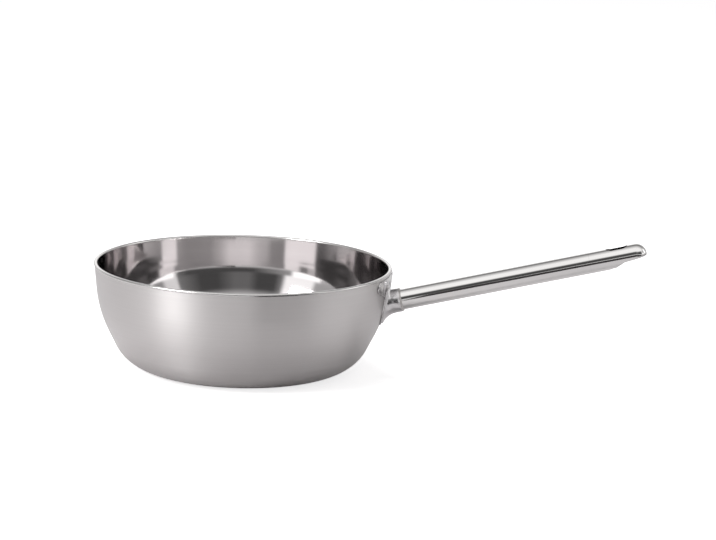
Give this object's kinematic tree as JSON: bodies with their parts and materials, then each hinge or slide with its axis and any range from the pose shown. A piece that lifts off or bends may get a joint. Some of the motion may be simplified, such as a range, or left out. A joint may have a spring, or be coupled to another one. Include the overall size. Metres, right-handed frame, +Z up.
{
  "type": "saucier pan",
  "caption": "Round clad stainless saucier pan with a bulged wall and flat base, and a straight rising tubular handle on a winged welded bracket, with a hanging slot in its tip.",
  "frame": {"origin": "centre of the flat base's underside", "axes": "+Z up along the bowl's axis, +X towards the handle's tip, the part is symmetric about the plane of X and Z"},
  "size_m": [0.4525, 0.2454, 0.1195],
  "materials": {
    "satin_steel": "fine satin brushing round the bowl",
    "aluminium_core": "as rolled, sealed between the skins",
    "polished_steel": "polished, with faint turning marks",
    "rim_steel": "polished",
    "bracket_steel": "tumbled bright",
    "weld_steel": "brushed weld metal",
    "handle_steel": "mirror polished"
  },
  "bodies": {
    "root": {"outer_skin": "satin_steel", "aluminium_core": "aluminium_core", "inner_skin": "polished_steel", "rim_weld": "rim_steel", "handle_bracket": "bracket_steel", "spot_welds": "weld_steel", "handle_tube": "handle_steel", "socket_weld": "weld_steel", "handle_end": "handle_steel", "end_weld": "handle_steel"}
  },
  "joints": []
}
